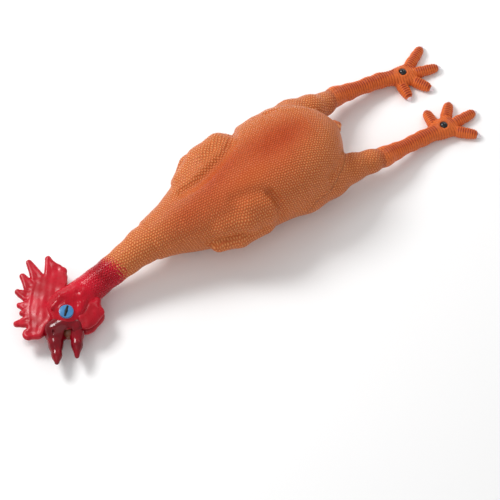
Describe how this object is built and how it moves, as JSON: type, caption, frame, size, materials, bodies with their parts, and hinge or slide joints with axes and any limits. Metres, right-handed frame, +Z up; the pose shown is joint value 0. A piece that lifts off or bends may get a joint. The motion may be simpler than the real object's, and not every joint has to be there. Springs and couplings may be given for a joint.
{
  "type": "rubber chicken",
  "caption": "Moulded latex stage prop bird lying on its back, hollow and squeezable, with a limp neck, bending legs and toes, floppy comb and a squeaker in each foot.",
  "frame": {"origin": "middle of the flat that the bird's back rests on, under the body", "axes": "+X along the body towards the feet (the head is at -X), +Y the bird's left side, +Z up out of the breast"},
  "size_m": [0.5131, 0.1259, 0.0869],
  "materials": {
    "skin": "satin latex with pimpled grain",
    "leg": "satin latex, darker in the grooves",
    "head_red": "gloss painted latex",
    "beak_red": "gloss painted latex",
    "eye_blue": "gloss painted latex",
    "claw": "painted latex",
    "squeaker_black": "gloss",
    "holder_white": "plain",
    "reed_brass": "plain"
  },
  "bodies": {
    "torso": {"torso_skin": "skin", "left_thigh_root": "skin", "right_thigh_root": "skin", "tail": "skin", "left_wing": "skin", "right_wing": "skin"},
    "breast": {"breast_panel": "skin"},
    "neck_base": {"neck_lower": "skin"},
    "neck_top": {"neck_upper": "head_red"},
    "head": {"head_skin": "head_red", "comb_root": "head_red", "upper_beak": "beak_red", "left_eye": "eye_blue", "right_eye": "eye_blue"},
    "comb": {"comb_blade": "head_red"},
    "jaw": {"lower_beak": "beak_red"},
    "wattles": {"left_wattle": "head_red", "right_wattle": "head_red"},
    "left_thigh": {"left_thigh": "skin"},
    "left_shank": {"left_shank": "leg"},
    "left_foot": {"left_foot": "leg", "left_squeaker_housing": "squeaker_black", "left_squeaker_holder": "holder_white", "left_squeaker_reed": "reed_brass"},
    "left_outer_toe": {"left_outer_toe": "leg", "left_outer_claw": "claw"},
    "left_middle_toe": {"left_middle_toe": "leg", "left_middle_claw": "claw"},
    "left_inner_toe": {"left_inner_toe": "leg", "left_inner_claw": "claw"},
    "left_hind_toe": {"left_hind_toe": "leg", "left_hind_claw": "claw"},
    "right_thigh": {"right_thigh": "skin"},
    "right_shank": {"right_shank": "leg"},
    "right_foot": {"right_foot": "leg", "right_squeaker_housing": "squeaker_black", "right_squeaker_holder": "holder_white", "right_squeaker_reed": "reed_brass"},
    "right_outer_toe": {"right_outer_toe": "leg", "right_outer_claw": "claw"},
    "right_middle_toe": {"right_middle_toe": "leg", "right_middle_claw": "claw"},
    "right_inner_toe": {"right_inner_toe": "leg", "right_inner_claw": "claw"},
    "right_hind_toe": {"right_hind_toe": "leg", "right_hind_claw": "claw"}
  },
  "joints": [
    {"name": "breast_squeeze", "type": "slide", "parent": "torso", "child": "breast", "axis": [0, 0, -1], "range_m": [0, 0.012], "stiffness_N_per_m": 150},
    {"name": "neck_lift", "type": "hinge", "parent": "torso", "child": "neck_base", "pos_m": [-0.11993, 0, 0.037], "axis": [-0.0308, 0.9995, 0], "range_deg": [-45, 45], "stiffness_Nm_per_rad": 0.1},
    {"name": "neck_turn", "type": "hinge", "parent": "neck_base", "child": "neck_top", "pos_m": [-0.1472, -0.00084, 0.0307], "axis": [0, 0, 1], "range_deg": [-45, 45], "stiffness_Nm_per_rad": 0.08},
    {"name": "head_nod", "type": "hinge", "parent": "neck_top", "child": "head", "pos_m": [-0.18094, -0.00189, 0.02142], "axis": [0, 0, 1], "range_deg": [-45, 45], "stiffness_Nm_per_rad": 0.06},
    {"name": "comb_flex", "type": "hinge", "parent": "head", "child": "comb", "pos_m": [-0.23571, 0.01435, 0.017], "axis": [-0.8268, -0.5625, 0], "range_deg": [-35, 35], "stiffness_Nm_per_rad": 0.006},
    {"name": "jaw_open", "type": "hinge", "parent": "head", "child": "jaw", "pos_m": [-0.23294, -0.02889, 0.017], "axis": [0, 0, 1], "range_deg": [-8, 25], "stiffness_Nm_per_rad": 0.006},
    {"name": "wattle_flap", "type": "hinge", "parent": "head", "child": "wattles", "pos_m": [-0.19794, -0.01789, 0.017], "axis": [-0.9487, -0.3162, 0], "range_deg": [-20, 20], "stiffness_Nm_per_rad": 0.004},
    {"name": "left_hip_swing", "type": "hinge", "parent": "torso", "child": "left_thigh", "pos_m": [0.08416, 0.037, 0.029], "axis": [-0.1859, 0.9826, 0], "range_deg": [-50, 50], "stiffness_Nm_per_rad": 0.05},
    {"name": "left_hock_bend", "type": "hinge", "parent": "left_thigh", "child": "left_shank", "pos_m": [0.12116, 0.04399, 0.021], "axis": [0, 0, 1], "range_deg": [-2, 50], "stiffness_Nm_per_rad": 0.03},
    {"name": "left_ankle_bend", "type": "hinge", "parent": "left_shank", "child": "left_foot", "pos_m": [0.17216, 0.04099, 0.01], "axis": [0.0587, 0.9983, 0], "range_deg": [-40, 40], "stiffness_Nm_per_rad": 0.02},
    {"name": "left_outer_toe_curl", "type": "hinge", "parent": "left_foot", "child": "left_outer_toe", "pos_m": [0.20781, 0.04063, 0.0045], "axis": [-0.454, 0.891, 0], "range_deg": [-30, 30], "stiffness_Nm_per_rad": 0.002},
    {"name": "left_middle_toe_curl", "type": "hinge", "parent": "left_foot", "child": "left_middle_toe", "pos_m": [0.20871, 0.03129, 0.0045], "axis": [0.2756, 0.9613, 0], "range_deg": [-30, 30], "stiffness_Nm_per_rad": 0.002},
    {"name": "left_inner_toe_curl", "type": "hinge", "parent": "left_foot", "child": "left_inner_toe", "pos_m": [0.20291, 0.02379, 0.0045], "axis": [0.8616, 0.5075, 0], "range_deg": [-30, 30], "stiffness_Nm_per_rad": 0.002},
    {"name": "left_hind_toe_curl", "type": "hinge", "parent": "left_foot", "child": "left_hind_toe", "pos_m": [0.18994, 0.02842, 0.0045], "axis": [0.9945, -0.1045, 0], "range_deg": [-30, 30], "stiffness_Nm_per_rad": 0.002},
    {"name": "right_hip_swing", "type": "hinge", "parent": "torso", "child": "right_thigh", "pos_m": [0.08416, -0.037, 0.029], "axis": [0.054, 0.9985, 0], "range_deg": [-50, 50], "stiffness_Nm_per_rad": 0.05},
    {"name": "right_hock_bend", "type": "hinge", "parent": "right_thigh", "child": "right_shank", "pos_m": [0.12116, -0.039, 0.021], "axis": [0, 0, 1], "range_deg": [-50, 2], "stiffness_Nm_per_rad": 0.03},
    {"name": "right_ankle_bend", "type": "hinge", "parent": "right_shank", "child": "right_foot", "pos_m": [0.16816, -0.037, 0.01], "axis": [-0.0425, 0.9991, 0], "range_deg": [-40, 40], "stiffness_Nm_per_rad": 0.02},
    {"name": "right_outer_toe_curl", "type": "hinge", "parent": "right_foot", "child": "right_outer_toe", "pos_m": [0.20253, -0.04647, 0.0045], "axis": [0.682, 0.7314, 0], "range_deg": [-30, 30], "stiffness_Nm_per_rad": 0.002},
    {"name": "right_middle_toe_curl", "type": "hinge", "parent": "right_foot", "child": "right_middle_toe", "pos_m": [0.20597, -0.03774, 0.0045], "axis": [0, 1, 0], "range_deg": [-30, 30], "stiffness_Nm_per_rad": 0.002},
    {"name": "right_inner_toe_curl", "type": "hinge", "parent": "right_foot", "child": "right_inner_toe", "pos_m": [0.20246, -0.02893, 0.0045], "axis": [-0.6884, 0.7254, 0], "range_deg": [-30, 30], "stiffness_Nm_per_rad": 0.002},
    {"name": "right_hind_toe_curl", "type": "hinge", "parent": "right_foot", "child": "right_hind_toe", "pos_m": [0.18871, -0.02981, 0.0045], "axis": [-0.9848, 0.1736, 0], "range_deg": [-30, 30], "stiffness_Nm_per_rad": 0.002}
  ]
}
